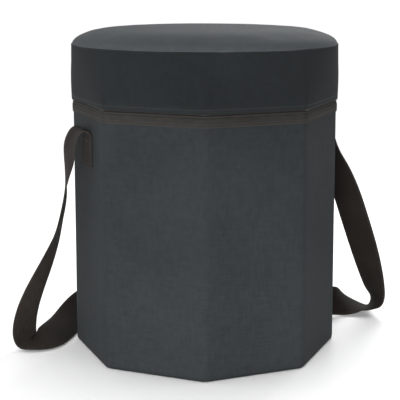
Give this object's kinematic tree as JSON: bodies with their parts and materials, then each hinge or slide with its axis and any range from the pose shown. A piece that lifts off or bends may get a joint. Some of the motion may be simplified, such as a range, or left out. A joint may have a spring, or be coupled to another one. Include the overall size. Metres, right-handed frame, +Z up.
{
  "type": "folding cooler stool",
  "caption": "Folding cooler stool with an octagonal insulated cloth body, a round padded lid on a cloth hinge that zips shut, and a webbing carrying strap sewn to its sides.",
  "frame": {"origin": "middle of the underside, on the floor that the stool stands on", "axes": "+Z up; the front wall faces -Y; the lid hinges on the back wall, which faces +Y; the strap is sewn to the walls that face -X and +X"},
  "size_m": [0.494, 0.33, 0.3896],
  "materials": {
    "wall_cloth": "matte charcoal polyester, plain weave",
    "band_cloth": "matte charcoal polyester, plain weave",
    "seat_cloth": "charcoal polyester with a soft sheen",
    "zip_cloth": "brown black zip tape",
    "webbing": "warm black ribbed webbing",
    "board": "pressed fibreboard",
    "foil": "silver metallised film",
    "foam": "open cell foam",
    "zip_nylon": "black nylon coil",
    "zip_metal": "dark lacquered zinc"
  },
  "bodies": {
    "back": {"back_cover": "wall_cloth", "back_board": "board", "back_insulation": "foil", "back_zip_strip": "zip_cloth", "base_cover": "wall_cloth", "base_foam": "foam", "base_lining": "foil", "strap": "webbing"},
    "back_right": {"back_right_cover": "wall_cloth", "back_right_board": "board", "back_right_insulation": "foil", "back_right_zip_strip": "zip_cloth"},
    "right": {"right_cover": "wall_cloth", "right_board": "board", "right_insulation": "foil", "right_zip_strip": "zip_cloth", "strap_sewn_end_right": "webbing"},
    "front_right": {"front_right_cover": "wall_cloth", "front_right_board": "board", "front_right_insulation": "foil", "front_right_zip_strip": "zip_cloth"},
    "back_left": {"back_left_cover": "wall_cloth", "back_left_board": "board", "back_left_insulation": "foil", "back_left_zip_strip": "zip_cloth"},
    "left": {"left_cover": "wall_cloth", "left_board": "board", "left_insulation": "foil", "left_zip_strip": "zip_cloth", "strap_sewn_end_left": "webbing"},
    "front_left": {"front_left_cover": "wall_cloth", "front_left_board": "board", "front_left_insulation": "foil", "front_left_zip_strip": "zip_cloth"},
    "front": {"front_cover": "wall_cloth", "front_board": "board", "front_insulation": "foil", "front_zip_strip": "zip_cloth"},
    "lid": {"lid_lining": "foil", "lid_insulation": "foam", "lid_board": "board", "seat_band": "band_cloth", "seat_top": "seat_cloth", "seat_foam": "foam", "zip_coil": "zip_nylon", "lid_zip_tape": "zip_cloth", "lid_hinge_flap": "band_cloth"},
    "zip_slider": {"zip_slider": "zip_metal"},
    "zip_pull": {"zip_pull": "zip_metal"}
  },
  "joints": [
    {"name": "fold_back_right", "type": "hinge", "parent": "back", "child": "back_right", "pos_m": [0.06291, 0.15187, 0.15], "axis": [0, 0, -1], "range_deg": [-43, 0], "deforming": ["base_cover", "base_foam", "base_lining", "strap"]},
    {"name": "fold_right_rear", "type": "hinge", "parent": "back_right", "child": "right", "pos_m": [0.15187, 0.06291, 0.15], "axis": [0, 0, -1], "range_deg": [-43, 0]},
    {"name": "fold_right_edge", "type": "hinge", "parent": "right", "child": "front_right", "pos_m": [0.13941, -0.05775, 0.15], "axis": [0, 0, 1], "range_deg": [-129, 0]},
    {"name": "fold_back_left", "type": "hinge", "parent": "back", "child": "back_left", "pos_m": [-0.06291, 0.15187, 0.15], "axis": [0, 0, 1], "range_deg": [-43, 0]},
    {"name": "fold_left_edge", "type": "hinge", "parent": "back_left", "child": "left", "pos_m": [-0.13941, 0.05775, 0.15], "axis": [0, 0, -1], "range_deg": [-129, 0]},
    {"name": "fold_left_front", "type": "hinge", "parent": "left", "child": "front_left", "pos_m": [-0.15187, -0.06291, 0.15], "axis": [0, 0, 1], "range_deg": [-43, 0]},
    {"name": "fold_front_left", "type": "hinge", "parent": "front_left", "child": "front", "pos_m": [-0.06291, -0.15187, 0.15], "axis": [0, 0, 1], "range_deg": [-43, 0]},
    {"name": "lid_hinge", "type": "hinge", "parent": "back", "child": "lid", "pos_m": [0, 0.1584, 0.3027], "axis": [-1, 0, 0], "range_deg": [0, 168]},
    {"name": "zip_slide", "type": "hinge", "parent": "lid", "child": "zip_slider", "pos_m": [0, 0, 0.305], "axis": [0, 0, 1], "range_deg": [0, 315]},
    {"name": "zip_pull_lift", "type": "hinge", "parent": "zip_slider", "child": "zip_pull", "pos_m": [-0.07017, 0.15503, 0.30665], "axis": [-0.7071, 0.7071, 0], "range_deg": [0, 80]}
  ],
  "couplings": [
    {"joint": "fold_right_rear", "follows": "fold_back_right", "ratio": 1},
    {"joint": "fold_right_edge", "follows": "fold_back_right", "ratio": 3},
    {"joint": "fold_back_left", "follows": "fold_back_right", "ratio": 1},
    {"joint": "fold_left_edge", "follows": "fold_back_right", "ratio": 3},
    {"joint": "fold_left_front", "follows": "fold_back_right", "ratio": 1},
    {"joint": "fold_front_left", "follows": "fold_back_right", "ratio": 1}
  ]
}
